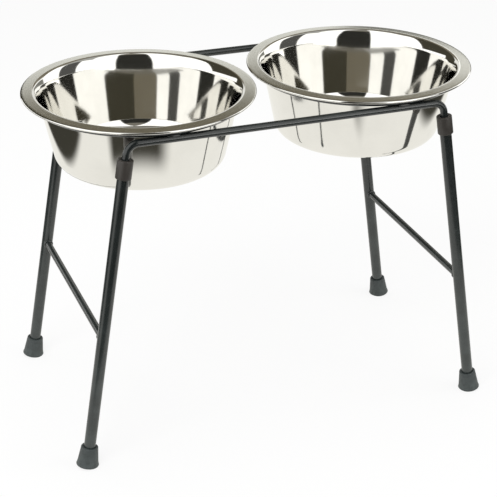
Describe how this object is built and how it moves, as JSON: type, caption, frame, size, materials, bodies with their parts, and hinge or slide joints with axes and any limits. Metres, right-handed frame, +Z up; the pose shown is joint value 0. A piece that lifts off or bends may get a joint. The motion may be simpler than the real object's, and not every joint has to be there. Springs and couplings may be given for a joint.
{
  "type": "raised pet feeder",
  "caption": "Raised pet feeder: rimmed steel bowls lift out of wire rings on a black rod frame, whose splayed, braced tube legs plug on and end in rubber feet.",
  "frame": {"origin": "on the floor, under the middle of the stand", "axes": "+X along the rods from the left bowl to the right bowl, +Y to the rear, +Z up"},
  "size_m": [0.5054, 0.2728, 0.3762],
  "materials": {
    "bowl_steel": "pressed stainless steel, mirror polished inside and outside, with a brushed rim",
    "frame_black": "satin black powder coat",
    "collar_plastic": "moulded, slightly glossy",
    "foot_rubber": "moulded, matt"
  },
  "bodies": {
    "top_frame": {"front_rail": "frame_black", "rear_rail": "frame_black", "left_ring": "frame_black", "right_ring": "frame_black"},
    "left_dish": {"left_bowl": "bowl_steel"},
    "right_dish": {"right_bowl": "bowl_steel"},
    "left_leg_frame": {"front_left_leg": "frame_black", "rear_left_leg": "frame_black", "left_brace": "frame_black", "front_left_collar": "collar_plastic", "rear_left_collar": "collar_plastic", "front_left_foot": "foot_rubber", "rear_left_foot": "foot_rubber"},
    "right_leg_frame": {"front_right_leg": "frame_black", "rear_right_leg": "frame_black", "right_brace": "frame_black", "front_right_collar": "collar_plastic", "rear_right_collar": "collar_plastic", "front_right_foot": "foot_rubber", "rear_right_foot": "foot_rubber"}
  },
  "joints": [
    {"name": "left_bowl_lift", "type": "slide", "parent": "top_frame", "child": "left_dish", "axis": [0, 0, 1], "range_m": [0, 0.12]},
    {"name": "right_bowl_lift", "type": "slide", "parent": "top_frame", "child": "right_dish", "axis": [0, 0, 1], "range_m": [0, 0.12]},
    {"name": "left_legs_pull", "type": "slide", "parent": "top_frame", "child": "left_leg_frame", "axis": [-0.1564, 0, -0.9877], "range_m": [0, 0.06]},
    {"name": "right_legs_pull", "type": "slide", "parent": "top_frame", "child": "right_leg_frame", "axis": [0.1564, 0, -0.9877], "range_m": [0, 0.06]}
  ]
}
